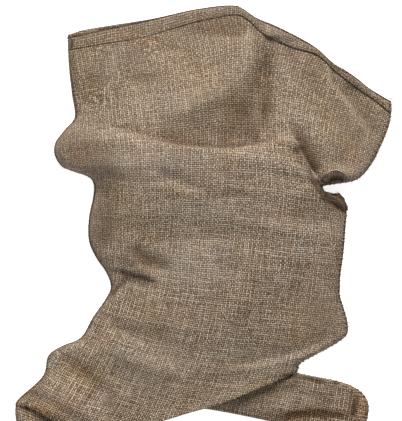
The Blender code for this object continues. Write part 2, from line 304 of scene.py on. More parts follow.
def rowPositions():
    # rows lie evenly along the cloth, apart from the denser stretches
    fine = np.linspace(0.0, len(sections) - 1, 40 * len(sections))
    values = sectionValues(fine)
    length = np.zeros(len(fine) - 1)
    for across in (0.0, 0.5, 1.0):
        x, y = planPoints(values, fine, np.full(fine.shape, across))
        length += np.hypot(np.diff(x), np.diff(y)) / 3.0
    middle = 0.5 * (fine[1:] + fine[:-1])
    for start, end, times in denserRows:
        inside = smoothStep(start - 0.5, start, middle) * smoothStep(end + 0.5, end, middle)
        length *= 1.0 + (times - 1.0) * inside
    along = np.concatenate([[0.0], np.cumsum(length + 0.05)])  # no step is left without length
    body = np.interp(np.linspace(np.interp(1.0, fine, along), along[-1], sack["bodyRows"]), along, fine)
    # the hem's own rows, then the cloth that comes out from under its lower edge
    hem = [place for place, height in hemProfile]
    return np.concatenate([hem, [1.0], [1.04], body[1:]])


def columnPlaces():
    steps = np.linspace(0.0, 1.0, sack["frontColumns"])
    crowding = sack["seamCrowding"]
    return (1.0 - crowding) * steps + crowding * (0.5 - 0.5 * np.cos(np.pi * steps))


def backBow(values, positions):
    # below backSection the back runs straight down to the bottom fold
    ends = np.array([float(sack["backSection"]), len(sections) - 1.0])
    start, end = planPoints(sectionValues(ends), ends, np.full(2, 0.5))[1]
    share = (positions - ends[0]) / (ends[1] - ends[0])
    even = start + (end - start) * share - 0.5 * (values["leftY"] + values["rightY"])
    return np.where(share > 0.0, even, values["bow"])


def foldCurve(fold):
    start, middle, end = (np.array((fold[at + "X"], fold[at + "Y"])) for at in ("start", "middle", "end"))
    share = np.linspace(0.0, 1.0, 21)[:, None]
    return (1 - share) ** 2 * start + 2 * share * (1 - share) * middle + share**2 * end


def foldEffect(numbers, x, y):
    # how much one fold lifts and shifts the places x, y, by the nearest point of its curve
    fold = {**foldDefaults, **dict(zip(foldFields, numbers))}
    curve = foldCurve(fold)
    best = np.full(x.shape, np.inf)
    along, side, leanX, leanY = (np.zeros(x.shape) for _ in range(4))
    for index in range(len(curve) - 1):
        here, run = curve[index], curve[index + 1] - curve[index]
        share = np.clip(((x - here[0]) * run[0] + (y - here[1]) * run[1]) / (run @ run), 0.0, 1.0)
        offX, offY = x - here[0] - share * run[0], y - here[1] - share * run[1]
        across = np.array((-run[1], run[0])) / np.hypot(*run)
        across = across if across[1] > 0 else -across
        distance = np.hypot(offX, offY)
        closer = distance < best
        best = np.where(closer, distance, best)
        along = np.where(closer, (index + share) / (len(curve) - 1), along)
        side = np.where(closer, offX * across[0] + offY * across[1], side)
        leanX = np.where(closer, across[0], leanX)
        leanY = np.where(closer, across[1], leanY)
    half = np.where(side > 0.0, fold["halfUp"], fold["halfDown"])
    ends = foldProfile["atEnds"] + (1.0 - foldProfile["atEnds"]) * endFade(foldProfile["endReach"], along)
    amount = ends * np.exp(-((np.hypot(best, foldProfile["blunt"]) / half) ** fold["power"]))
    return fold["height"] * amount, fold["lean"] * amount * leanX, fold["lean"] * amount * leanY


def ripple(x, y):
    random = np.random.default_rng(ripples["seed"])
    height = np.zeros(x.shape)
    for wave in range(ripples["waves"]):
        length = random.uniform(ripples["shortest"], ripples["longest"])
        turn, phase = random.uniform(0, math.pi), random.uniform(0, 2 * math.pi)
        height += length * np.sin((x * math.cos(turn) + y * math.sin(turn)) * 2 * math.pi / length + phase)
    return ripples["height"] * height


def frontSurface(positions, across):
    values = sectionValues(positions)
    x, y = planPoints(values, positions, across)
    dome = np.clip(4.0 * across * (1.0 - across), 0.0, 1.0) ** values["full"]
    height = sack["edgeHeight"] + (values["crown"] - sack["edgeHeight"]) * dome
    fade = endFade(sack["seamFade"], across)
    # the body's folds end at the deep fold, and the feet have their own
    below = smoothStep(*sack["feetFrom"], positions)
    shiftX, shiftY = np.zeros(x.shape), np.zeros(x.shape)
    for table, part in ((folds, 1.0 - below), (footFolds, below)):
        for numbers in table.values():
            rise, leanX, leanY = foldEffect(numbers, x, y)
            height = height + rise * fade * part
            shiftX += leanX * fade * part
            shiftY += leanY * fade * part
    height += ripple(x, y) * fade
    above = (height - sack["frontLeast"]) / sack["frontSoften"]
    height = sack["frontLeast"] + sack["frontSoften"] * np.logaddexp(0.0, above)
    return np.stack([x + shiftX, y + shiftY, height], axis=-1)


def shapeHem(front, places):
    # rows up to hemStep are the rolled hem, and the next one is the cloth under its lower edge
    profile = np.array([height for place, height in hemProfile])[:, None]
    roll = np.where(profile > 0.0, profile * stepLine(hemStand, places), profile)
    front[: hemStep + 1, :, 2] += roll
    toMouth = unit(front[hemStep - 2, :, :2] - front[hemStep, :, :2])
    front[hemStep + 1, :, :2] += sack["hemUndercut"] * toMouth
    front[hemStep + 1, :, 2] -= sack["hemSink"]


def turnedEdge(first, last, outward):
    points = []
    for step in range(1, sack["edgePoints"] + 1):
        turn = math.pi * step / (sack["edgePoints"] + 1)
        share = 0.5 - 0.5 * math.cos(turn)
        point = first * (1.0 - share) + last * share
        point[:, :2] += outward * sack["edgeRoll"] * math.sin(turn)
        points.append(point)
    return np.stack(points, axis=1)


def sackRings():
    # each ring runs over the front from left to right, and back along the back panel
    rowPlace, places = rowPositions(), columnPlaces()
    positions, across = np.meshgrid(rowPlace, places, indexing="ij")
    front = frontSurface(positions, across)
    shapeHem(front, places)

    positions, across = positions[:, ::2].copy(), across[:, ::2]
    positions[hemStep] -= sack["backSmoothing"]
    positions[hemStep + 1] += sack["backSmoothing"]
    values = sectionValues(positions)
    backX, backY = planPoints(values, positions, across, backBow(values, positions))
    lip = softLine(backLip, across) * (1.0 - smoothStep(0.0, 2.0, positions))
    back = np.stack([backX, backY + lip, np.zeros(backX.shape)], axis=-1)

    outward = unit(front[:, -1, :2] - front[:, 0, :2])
    rightEdge = turnedEdge(front[:, -1], back[:, -1], outward)
    leftEdge = turnedEdge(back[:, 0], front[:, 0], -outward)
    rings = np.concatenate([front, rightEdge, back[:, ::-1], leftEdge], axis=1)
    return (rings + (*sack["frameShift"], 0.0)) * mm, rowPlace


# Where the yarns run: the cloth is laid out flat again, as evenly as its folds let it. In metres.
layout = {
    # yarn directions: how far the weft falls to the right, in degrees, at places on the plan
    "turns": (
        (-0.3, 0.26, -9), (-0.1, 0.32, -9), (0.02, 0.34, -12), (0.12, 0.32, 12), (0.22, 0.24, 18),
        (0.32, 0.18, 14), (-0.16, 0.2, -7), (0.02, 0.2, -12), (0.12, 0.18, 2), (0.24, 0.12, 10),
        (0.05, 0.1, -2), (-0.2, 0.12, -4), (-0.08, 0.1, -5), (0.14, 0.07, 6), (-0.14, 0.02, 0),
        (-0.04, 0.02, 1), (0.06, 0.01, 5), (0.2, 0, 6), (-0.13, -0.05, 4), (-0.02, -0.05, 3),
        (0.1, -0.06, 4), (0.2, -0.06, 5), (-0.08, -0.13, 12), (0.04, -0.13, 6), (0.14, -0.13, 8),
        (0.22, -0.18, 8), (-0.13, -0.18, 22), (-0.04, -0.2, 12), (0.05, -0.22, 6), (0.15, -0.2, 5),
        (-0.18, -0.22, 25), (-0.13, -0.26, 22), (-0.04, -0.27, 16), (-0.24, -0.28, 26), (-0.18, -0.3, 27),
        (-0.1, -0.3, 18), (0.02, -0.3, 14), (0.12, -0.28, 8), (-0.25, -0.36, 28), (0, -0.36, 15),
    ),
    "reach": 0.055,  # how far off each of them still counts fully
    "lean": 1.3,  # the net takes them up only in part, so more is asked for
    "footTurn": math.radians(9.0),
    "rounds": 400,
    "diagonal": 0.3,  # weight of the net's diagonals
    # where the hem, the back and the bottom fold lie, well apart from the front
    "hemAbove": 1.0,
    "backAway": (2.0, 3.0),
    "bottomBeyond": 0.005,
}


def yarnTurn(body, rowPlace):
    # the yarns' direction at each point, from the places around it
    middles = np.array([turn[:2] for turn in layout["turns"]])
    angles = layout["lean"] * np.radians([turn[2] for turn in layout["turns"]])
    apart = lengths(body[..., None, :2] - middles)
    near = 1.0 / (apart ** 2 + layout["reach"] ** 2) ** 2
    turn = (near * angles).sum(axis=-1) / near.sum(axis=-1)
    turn[int(np.argmax(rowPlace >= sack["foldSection"])):] = layout["footTurn"]
    return turn


def layFlat(body, turn):
    # each edge of the net keeps its length and leans as the yarns there do
    whole, fore, after = slice(None), slice(None, -1), slice(1, None)
    pairs = (
        ((fore, whole), (after, whole), 1.0),
        ((whole, fore), (whole, after), 1.0),
        ((fore, fore), (after, after), layout["diagonal"]),
        ((after, fore), (fore, after), layout["diagonal"]),
    )
    flat = np.stack([body[..., 0], -body[..., 1]], axis=-1)
    runs = []
    for first, second, weight in pairs:
        plan = body[second][..., :2] - body[first][..., :2]
        angle = 0.5 * (turn[first] + turn[second])
        run = np.stack([
            plan[..., 0] * np.cos(angle) - plan[..., 1] * np.sin(angle),
            -(plan[..., 1] * np.cos(angle) + plan[..., 0] * np.sin(angle)),
        ], axis=-1)
        runs.append(unit(run) * lengths(body[second] - body[first])[..., None])

    def gather(steps):
        total = np.zeros(flat.shape)
        for (first, second, weight), step in zip(pairs, steps):
            total[first] -= weight * step
            total[second] += weight * step
        return total

    # least squares over the whole net, by conjugate gradients
    left = gather(runs) - gather([flat[second] - flat[first] for first, second, weight in pairs])
    direction, size = left, (left * left).sum()
    for _ in range(layout["rounds"]):
        pulled = gather([direction[second] - direction[first] for first, second, weight in pairs])
        move = size / (direction * pulled).sum()
        flat, left = flat + move * direction, left - move * pulled
        size, before = (left * left).sum(), size
        direction = left + size / before * direction
    return flat


def layHemFlat(hem):
    # the hem has its own straight run of yarns along the mouth
    along = lengthsAlong(hem[len(hem) // 2])
    depth = np.cumsum(lengths(np.diff(hem, axis=0, prepend=hem[:1])).mean(axis=1))
    return np.stack(np.broadcast_arrays(along[None, :], depth[:, None] - layout["hemAbove"]), axis=-1)


def wrapLayout(rings, flat):
    # flat places of each face's corners at its start and at its end round the ring
    count, columns, edge = rings.shape[1], sack["frontColumns"], sack["edgePoints"]
    arcs = lengths(np.roll(rings, -1, axis=1) - rings)
    begin = layout["backAway"] - rings[..., :2]
    end = np.roll(begin, -1, axis=1)
    begin[:, : columns - 1], end[:, : columns - 1] = flat[:, :-1], flat[:, 1:]
    sides = (
        (begin, end, flat[:, -1], range(columns - 1, columns + edge), 1.0),
        (end, begin, flat[:, 0], range(count - 1, count - edge - 2, -1), -1.0),
    )
    for near, far, place, order, outward in sides:
        place = place.copy()
        for index in order:
            near[:, index] = place
            place[:, 0] += outward * arcs[:, index]
            far[:, index] = place
    return begin, end


# Patches on the cloth, in millimetres: place, reach across and along, how strong. Haze softens the weave's
# contrast, bleach sprinkles pale bits, open parts the yarns, the dull patches darken, partly as the cloth's
# duller tone and partly as painted shade in hollows, on side walls and under folds, the pale patches are
# painted light on lit ridges and slopes, and the others change the tone.
patches = {
    "haze": (
        (0, 400, 500, 190, 1), (40, 210, 90, 60, 1), (260, 170, 70, 70, 0.9), (-230, 150, 50, 40, 1),
        (-190, 20, 26, 100, 1.2), (215, -150, 60, 50, 0.9), (-240, 250, 40, 120, 0.5),
        (173, 132, 12, 16, 2.2), (188, 108, 12, 14, 2.2), (-183, 106, 38, 26, 1), (248, 230, 20, 30, 1),
    ),
    "bleach": (
        (-185, 312, 26, 12, 1), (-60, 316, 30, 8, 1.2), (-188, 224, 26, 12, 1.6), (-180, 228, 28, 20, 1),
        (-92, 318, 34, 20, 1.1), (-95, 303, 30, 4, 1.6), (-150, 262, 30, 26, 0.5),
        (112, 262, 44, 16, 0.5),
    ),
    "open": (
        (-60, -170, 230, 110, 0.8), (-170, -290, 160, 70, 1), (90, -60, 180, 90, 0.6),
        (210, -320, 110, 60, 1),
    ),
    # painted shade in hollows, on side walls and under folds, together with some duller tone of the cloth
    "dullAndShade": (
        (90, 200, 34, 44, 0.8), (60, 168, 60, 22, 0.6), (-172, 20, 26, 80, 0.7),
        (-185, -165, 22, 36, 0.8), (234, 44, 20, 16, 2.2), (238, -130, 34, 66, 1.7),
        (282, -338, 16, 26, 1), (110, -146, 120, 40, 0.3), (-168, 262, 66, 60, 0.8),
        (20, 335, 120, 40, 0.35), (215, 215, 70, 60, 0.2), (-212, 166, 50, 26, 0.6),
        (0, 168, 60, 34, 0.7), (60, 194, 26, 26, 1.1), (-236, 325, 22, 22, 1), (-130, -43, 42, 26, 0.9),
        (215, -312, 90, 50, 0.8), (-56, 158, 34, 12, 0.5), (104, 204, 22, 34, 1.1), (196, -322, 60, 9, 1),
        (262, -316, 7, 20, 1.6), (84, 190, 40, 30, 0.6), (-190, 262, 64, 54, 1.7),
        (-190, 180, 32, 20, 1.4), (-108, -66, 36, 16, 2.4), (-180, 0, 14, 60, 1.8),
        (236, -130, 24, 30, 2.2), (88, 207, 12, 20, 2), (-64, -26, 30, 8, 0.8), (-192, 263, 24, 13, 2.6),
        (-111, 263, 40, 12, 2.6), (-121, 291, 24, 9, 1.8), (-199, 219, 20, 14, 1.4),
        (-185, 293, 22, 12, 1.2), (-228, 262, 10, 60, 2.4), (232, -98, 24, 60, 1.8),
        (136, 300, 30, 40, 0.9), (204, 8, 44, 10, 1), (15, 340, 60, 24, 1.6), (92, 335, 10, 40, 1.3),
        (103, 194, 12, 28, 2.2), (14, 170, 24, 16, 0.8), (39, 254, 26, 18, 0.4), (188, 260, 34, 38, 1.7),
        (248, 150, 36, 36, 1.4), (-197, 135, 50, 26, 2.4), (-225, 150, 30, 30, 1.6),
        (184, 40, 60, 36, 0.5), (240, -80, 16, 90, 2), (-160, 20, 30, 56, 1.4), (216, 18, 24, 16, 1.2),
        (-142, 18, 30, 60, 0.5), (162, -119, 80, 32, 0.9), (150, 18, 80, 16, 0.35), (225, 235, 6, 8, 0.8),
        (204, 34, 38, 34, 1), (-148, -106, 16, 8, 0.6), (178, -334, 76, 12, 2.2), (150, -268, 40, 7, 1.6),
        (-300, -288, 34, 28, 2.4), (243, 105, 24, 18, 1), (-199, 115, 44, 14, 2.2),
    ),
    "grey": (
        (20, 40, 210, 110, 0.6), (72, 298, 18, 34, 0.6), (-49, 163, 50, 12, 1), (63, 163, 40, 12, 0.6),
        (-130, 140, 110, 40, 0.7), (10, -78, 60, 50, 0.8), (169, 10, 70, 70, 0.6), (60, 20, 120, 50, 0.6),
        (150, -60, 80, 60, 0.5), (-60, -190, 120, 30, 0.4), (170, 260, 30, 30, 0.4),
    ),
    # mostly painted light on lit ridges and slopes
    "pale": (
        (-113, 106, 120, 28, 1.2), (-20, -62, 80, 40, 1.1), (-60, -92, 90, 26, 0.7),
        (-110, -232, 66, 24, 0.8), (-236, -293, 34, 24, 0.7), (90, 13, 60, 14, 0.6),
        (256, 94, 30, 14, 1.2), (284, 122, 14, 30, 0.8), (127, 328, 26, 8, 1.4), (150, 316, 30, 8, 0.8),
        (65, 221, 9, 40, 0.5), (-53, 175, 44, 13, 0.6), (-164, 91, 44, 13, 0.9), (-34, -84, 50, 16, 1.1),
        (-7, -34, 76, 70, 0.35), (-70, -215, 60, 60, 0.6), (-103, -263, 70, 40, 0.8),
        (-160, 279, 10, 26, 1), (-90, 297, 30, 10, 0.5), (-146, -108, 10, 16, 0.5),
        (-176, -304, 16, 16, 1.8), (168, -248, 14, 18, 1.6), (77, 308, 9, 38, 0.6),
        (110, -248, 60, 10, 0.8), (-268, -304, 24, 10, 1.2), (-30, 210, 40, 24, 0.7),
        (206, -226, 30, 16, 1.4), (30, -50, 80, 40, 0.4), (-6, 24, 66, 20, 0.7), (78, -228, 110, 13, 0.7),
        (157, -302, 90, 16, 0.5), (-112, 214, 40, 34, 0.4),
    ),
    "golden": (
        (-201, 316, 22, 14, 0.7), (-199, 244, 20, 24, 0.8), (-104, 268, 30, 16, 0.6),
        (-20, 280, 80, 50, 0.3), (49, 207, 34, 30, 1.2), (96, 210, 24, 40, 0.4), (213, 203, 22, 60, 0.8),
        (248, 133, 28, 40, 1), (183, 120, 14, 24, 0.6), (-199, 115, 34, 14, 1.2), (-162, 71, 24, 34, 0.9),
        (-169, 1, 22, 60, 0.5), (-99, -43, 34, 50, 0.6), (-99, -179, 30, 40, 0.5),
        (-200, -263, 50, 40, 1), (-280, -321, 44, 24, 0.6), (106, -290, 50, 14, 0.7),
        (204, -332, 80, 12, 1), (275, -307, 20, 40, 1), (160, -196, 56, 14, 0.6),
    ),
    "pink": (
        (-200, -263, 50, 40, 0.6), (204, -332, 80, 14, 0.9), (-280, -321, 44, 24, 0.8),
        (49, 207, 34, 30, 0.5), (-199, 115, 34, 14, 0.8), (-70, 275, 45, 16, 0.3),
        (-132, 328, 60, 12, 0.9), (284, -322, 12, 26, 1.6), (190, 305, 40, 16, 0.8),
        (262, 122, 20, 24, 0.8), (-195, 0, 14, 60, 0.6), (275, -330, 22, 30, 1), (215, 80, 14, 18, 0.7),
        (200, 255, 12, 40, 0.5), (60, -60, 60, 30, 0.3),
    ),
}


def patchStrength(kind, points):
    strength = np.zeros(len(points))
    plan = points[:, :2] / mm - sack["frameShift"]
    for x, y, reachX, reachY, strong in patches[kind]:
        away = ((plan[:, 0] - x) / reachX) ** 2 + ((plan[:, 1] - y) / reachY) ** 2
        strength = np.maximum(strength, strong * np.exp(-away))
    return strength


# How much painted shade the cloth gets for each cause: steep and sunken places, the hem, the mouth's edge,
# the seams, the turned edges and the strip behind the mouth. Heights are in millimetres, mouthShade in
# metres.
paintedShadeAmounts = {
    "steep": 0.55,
    "steepFrom": 0.15, "steepTo": 0.65,
    "sunken": ((4, 3.0), (14, 12.0)),  # rows and columns averaged over, and the depth that counts in full
    "sunkenEach": 0.5,
    "hem": 0.3,
    "mouthEdge": 0.9,
    "seam": 0.8,
    "turnedEdge": 1.3,
    "behindMouth": 1.8,
    "mouthShade": (0.0045, 0.0068),
}


def spread(values, reach):
    # plain average over a square neighbourhood, with the edge values repeated
    window = np.full(2 * reach + 1, 1.0 / (2 * reach + 1))
    values = np.pad(values, reach, mode="edge")
    for axis in (0, 1):
        values = np.apply_along_axis(np.convolve, axis, values, window, "valid")
    return values


def paintedFoldShade(front):
    # painted shade where the cloth lies steep and where it is sunken
    normal = unit(np.cross(np.gradient(front, axis=1), np.gradient(front, axis=0)))
    steep = 1.0 - np.abs(normal[..., 2])
    total = paintedShadeAmounts["steep"] * smoothStep(paintedShadeAmounts["steepFrom"], paintedShadeAmounts["steepTo"], spread(steep, 2))
    height = front[..., 2] / mm
    for reach, depth in paintedShadeAmounts["sunken"]:
        total += paintedShadeAmounts["sunkenEach"] * np.clip((spread(height, reach) - height) / depth, 0.0, 1.0)
    return np.clip(total, 0.0, 1.0)


def paintedClothShade(rings):
    # how much painted shade the cloth gets at each point of the rings
    columns, edge = sack["frontColumns"], sack["edgePoints"]
    shaded = np.zeros(rings.shape[:2])
    front = shaded[:, :columns]
    front += paintedFoldShade(rings[:, :columns])
    plan = rings[:, :columns, :2] / mm - sack["frameShift"]
    # painted shade along the dark lines listed above
    for numbers in paintedShadeLines.values():
        front += foldEffect(numbers, plan[..., 0], plan[..., 1])[0]
    # the hem band is a little darker, and its lower edge gets a painted shadow line
    front[:hemStep] += paintedShadeAmounts["hem"]
    front[hemStep : hemStep + 2] = stepLine(hemShade, columnPlaces())
    # the strip of the back that lies close in front of the mouth's edge is in its shade
    back = slice(columns + edge, -edge)
    ahead = rings[: hemStep + 1, back, 1] - rings[0, :columns:2, 1][::-1]
    shaded[: hemStep + 1, back] = paintedShadeAmounts["behindMouth"] * (1.0 - smoothStep(*paintedShadeAmounts["mouthShade"], ahead))
    # painted shade: the outline is a little darker all round
    shaded[:, columns : columns + edge] = paintedShadeAmounts["turnedEdge"]
    shaded[:, -edge:] = paintedShadeAmounts["turnedEdge"]
    front[hemStep + 1 :, [0, -1]] += paintedShadeAmounts["seam"]
    shaded[0] += paintedShadeAmounts["mouthEdge"]
    return shaded


def sideFaces(rings, hem, body):
    # a face's four corners, and their places on the flat cloth
    rowCount, count = rings.shape[:2]
    faces, flat = [], []
    for row in range(rowCount - 1):
        (begin, end), offset = (hem, 0) if row < hemStep else (body, hemStep + 1)
        lower = row + 1 - offset
        # the step under the hem's edge takes the body's layout
        upper = lower if row == hemStep else row - offset
        for column in range(count):
            here, after = row * count + column, row * count + (column + 1) % count
            faces.append((here, here + count, after + count, after))
            flat += [begin[upper, column], begin[lower, column], end[lower, column], end[upper, column]]
    return faces, flat


def closeBottom(points, faces, flat, rings, body):
    # a line of points along the bottom fold joins the last row of the front to that of the back
    columns, edge = sack["frontColumns"], sack["edgePoints"]
    rowCount, count = rings.shape[:2]
    last = (rowCount - 1) * count
    begin, end = body[0][-1], body[1][-1]

    def backOf(index):
        return last + count - edge - 1 - index

    foldLine = range(len(points), len(points) + columns)
    drop = np.array((0.0, sack["edgeRoll"] * mm, 0.0))
    for column in range(columns):
        front = np.array(points[last + column])
        under = 0.5 * (np.array(points[backOf(column // 2)]) + np.array(points[backOf((column + 1) // 2)]))
        points.append((0.5 * (front + under) - drop).tolist())
    beyond = np.array((0.0, layout["bottomBeyond"]))
    for column in range(columns - 1):
        faces.append((last + column, foldLine[column], foldLine[column + 1], last + column + 1))
        here, there = begin[column], end[column]
        flat += [here, here + beyond, there + beyond, there]
    for index in range(columns // 2):
        left, middle, right = foldLine[2 * index : 2 * index + 3]
        faces.append((left, backOf(index), backOf(index + 1), right, middle))
        here, there = begin[2 * index] + beyond, end[2 * index + 1] + beyond
        flat += [here, here + beyond, there + beyond, there, 0.5 * (here + there)]
    rightCorner = (*range(last + columns - 1, last + columns + edge + 1), foldLine[-1])
    leftCorner = (*range(last + count - edge - 1, last + count), last, foldLine[0])
    for corner in (rightCorner, leftCorner):
        faces.append(corner)
        flat += [np.array(points[index][:2]) for index in corner]


def putInScene(name, data):
    thing = bpy.data.objects.new(name, data)
    bpy.context.collection.objects.link(thing)
    return thing


def makePiece(name, points, faces, values):
    mesh = bpy.data.meshes.new(name)
    mesh.from_pydata(points, [], faces)
    for key, numbers in values.items():
        mesh.attributes.new(key, "FLOAT", "POINT").data.foreach_set("value", np.array(numbers, np.float32))
    mesh.shade_smooth()
    return putInScene(name, mesh)


def buildCloth(rings, rowPlace):
    start, front = hemStep + 1, rings[:, : sack["frontColumns"]]
    turn = yarnTurn(front[start:], rowPlace[start:])
    hem = wrapLayout(rings[:start], layHemFlat(front[:start]))
    body = wrapLayout(rings[start:], layFlat(front[start:], turn))
    points = rings.reshape(-1, 3).tolist()
    faces, flat = sideFaces(rings, hem, body)
    closeBottom(points, faces, flat, rings, body)
    values = {kind: patchStrength(kind, np.array(points)) for kind in patches}
    shaded = paintedClothShade(rings).ravel()
    values["paintedShade"] = np.pad(shaded, (0, len(points) - len(shaded)))
    piece = makePiece("sackCloth", points, faces, values)
    piece.data.uv_layers.new(name="weave").uv.foreach_set("vector", np.array(flat, np.float32).ravel())
    thickGroup = piece.vertex_groups.new(name="hem")
    thickGroup.add(list(range(start * rings.shape[1])), 1.0, "REPLACE")
    return piece


class NodeValue:
    # a number worked out by a material's nodes, so that sums with it read as plain sums
    def __init__(self, kit, socket):
        self.kit, self.socket = kit, socket

    def __add__(self, other):
        return self.kit.sums("ADD", self, other)

    def __sub__(self, other):
        return self.kit.sums("SUBTRACT", self, other)

    def __rsub__(self, other):
        return self.kit.sums("SUBTRACT", other, self)

    def __mul__(self, other):
        return self.kit.sums("MULTIPLY", self, other)


class NodeKit:
    # a new material, with short ways to add the nodes used here
    def __init__(self, name):
        self.material = bpy.data.materials.new(name)
        self.material.use_nodes = True
        self.tree = self.material.node_tree
        self.shader = self.tree.nodes["Principled BSDF"]

    def feed(self, node, inputs):
        for key, value in dict(inputs).items():
            value = value.socket if isinstance(value, NodeValue) else value
            if isinstance(value, bpy.types.NodeSocket):
                self.tree.links.new(value, node.inputs[key])
            else:
                node.inputs[key].default_value = value

    def add(self, kind, inputs=(), output=0, **settings):
        node = self.tree.nodes.new("ShaderNode" + kind)
        for key, value in settings.items():
            setattr(node, key, value)
        self.feed(node, inputs)
        return NodeValue(self, node.outputs[output])

    def sums(self, operation, *values, clamp=False):
        return self.add("Math", enumerate(values), operation=operation, use_clamp=clamp)

    def vectors(self, operation, *values):
        return self.add("VectorMath", enumerate(values), operation=operation)

    def attribute(self, name):
        return self.add("Attribute", output="Fac", attribute_name=name)

    def noise(self, place, scale, detail=2.0, roughness=0.5, output=0):
        inputs = {"Vector": place, "Scale": scale, "Detail": detail, "Roughness": roughness}
        return self.add("TexNoise", inputs, output)

    def between(self, value, low, high, **settings):
        return self.add("MapRange", {0: value, 1: low, 2: high, 3: 0.0, 4: 1.0}, **settings)

    def point(self, *values):
        return self.add("CombineXYZ", enumerate(values))

    def blend(self, share, first, second, kind="MIX"):
        return self.add("Mix", {0: share, 6: first, 7: second}, 2, data_type="RGBA", blend_type=kind)

    def bump(self, height, strength, depth):
        relief = self.add("Bump", {"Strength": strength, "Distance": depth, "Height": height})
        self.feed(self.shader, {"Normal": relief})


weave = {
    "pitch": 0.0036,
    "wander": ((14.0, 0.0088), (95.0, 0.0024)),  # noise scale, and how far the yarns stray at it
    # noises along a yarn: step from one yarn to the next, stretch along it, seed, detail and roughness
    "streak": (7.37, 0.06, 0.0, 3.0, 0.7),
    "ply": (3.11, 1.7, 5.0, 2.0, 0.8),
    "bend": (5.13, 0.22, 9.0, 1.0, 0.5),
    "seeds": {"warp": 3.1, "weft": 71.7},
    "yarnHalf": 0.36,  # half a yarn's width, as a share of the pitch
    "slub": 0.46,
    "stray": 0.60,
    "onTop": 0.4,  # how far a yarn rises and dips as it goes over and under
    "openThinner": -0.05,
    "pebbleScale": 340.0,
    "paintedShade": 0.5,
    "dullAndShade": 0.22,
    "haze": 0.34,
    "pale": 0.13,
    "hazeColour": (0.262, 0.200, 0.138, 1.0),
    "fibreScale": 1400.0,
    "fibreRelief": 0.12,
    "bump": 1.0,
    "depth": 0.0016,
    "ramp": (  # a yarn's colour by its tone
        (0.33, (0.158, 0.092, 0.043, 1.0)),
        (0.48, (0.370, 0.277, 0.190, 1.0)),
        (0.66, (0.660, 0.560, 0.455, 1.0)),
    ),
    # painted shade: the colour of the dark inside of the sack, seen through the weave's gaps
    "holeShade": (0.040, 0.0145, 0.0025, 1.0),
    "holeHeights": (0.10, 0.72),  # a hole is dark below the first, and all yarn above the second
    "shadow": (0.34, 0.26, 0.18, 1.0),
    # colour casts: noise values between which they come in, and the colour
    "casts": {
        "golden": (0.42, 0.64, (0.520, 0.475, 0.315, 1.0)),
        "pink": (0.44, 0.66, (0.62, 0.46, 0.38, 1.0)),
        "grey": (0.44, 0.66, (0.44, 0.48, 0.54, 1.0)),
    },
    "castScale": 13.0,
    "castShare": (0.15, 0.40, 0.20),  # where a patch asks for it, in its clouds, and in clouds anywhere
}
tones = {
    # what makes up a yarn's tone in the close weave, and what is added where the weave is open
    "base": (0.04, -0.09),
    "streak": (0.42, 0.40),
    "ply": (0.50, -0.20),
    "pebble": (0.60, -0.30),
    # painted light and shade: warp crossings are lighter than weft ones, as yarns facing the light more would
    # be: all of them, and some by chance
    "crossing": (0.01, 0.05),
    "pair": 0.05,  # every second warp yarn is lighter than the next
    "bleached": (0.20, 0.34, -0.06),  # share of the crossings with a pale bit of bast, its tone, the others'
}


def oneWay(kit, own, other, seed, openness):
    # the yarns of one direction: own counts them, and other runs along them
    number = kit.sums("FLOOR", own)

    def alongYarn(key):
        apart, stretch, shift, detail, roughness = weave[key]
        return kit.noise(kit.point(number * apart, other * stretch, seed + shift), 1.0, detail, roughness)

    streak, ply = alongYarn("streak"), alongYarn("ply")
    # slubs: the yarn is thicker and thinner along its length
    half = (streak * 0.5 + ply * 0.5 - 0.5) * weave["slub"] + weave["yarnHalf"]
    half = openness * weave["openThinner"] + half
    # and it strays from the middle of its place
    middle = (alongYarn("bend") - 0.5) * weave["stray"] + 0.5
    ratio = kit.sums("DIVIDE", kit.sums("ABSOLUTE", kit.sums("FRACT", own) - middle), half)
    bulge = kit.sums("SQRT", kit.sums("MAXIMUM", 1.0 - ratio * ratio, 0.0))
    return {"streak": streak, "ply": ply, "bulge": bulge, "number": number}


def yarnTone(kit, pick, warp, weft, warpOnTop, openness, uv):
    cell = kit.point(warp["number"], weft["number"])
    chance = kit.add("TexWhiteNoise", {"Vector": cell}, noise_dimensions="2D")

    def share(key):
        return openness * tones[key][1] + tones[key][0]

    def otherChance(factor):
        return kit.sums("FRACT", chance * factor)

    tone = pick("streak") * share("streak") + pick("ply") * share("ply") + share("base")
    # painted light and shade: crossings with the warp on top are lighter, weft ones darker
    crossing = warpOnTop * 2.0 - 1.0
    pair = kit.sums("MODULO", warp["number"] + 1000.0, 2.0) * 2.0 - 1.0
    always, byChance = tones["crossing"]
    tone = crossing * (chance * byChance + always) + pair * (otherChance(7.13) * tones["pair"]) + tone
    bleachedShare, pale, others = tones["bleached"]
    bleached = kit.sums("GREATER_THAN", otherChance(3.71), 1.0 - bleachedShare)
    tone = kit.attribute("bleach") * (bleached * pale + others) + tone
    return (kit.noise(uv, weave["pebbleScale"], 1.0) - 0.5) * share("pebble") + tone


def castColours(kit, colour, uv):
    # broad clouds of other tones, stronger where the patches ask for them
    asked, inClouds, anywhere = weave["castShare"]
    for number, (kind, (low, high, cast)) in enumerate(weave["casts"].items()):
        shifted = kit.vectors("ADD", uv, (3.7 * number, 1.9, 0.0))
        cloudy = kit.between(kit.noise(shifted, weave["castScale"], 3.0, 0.65), low, high)
        strength = kit.attribute(kind)
        share = kit.sums("ADD", strength * asked, (strength * inClouds + anywhere) * cloudy, clamp=True)
        colour = kit.blend(share, colour, kit.blend(1.0, colour, cast, "OVERLAY"))
    return colour


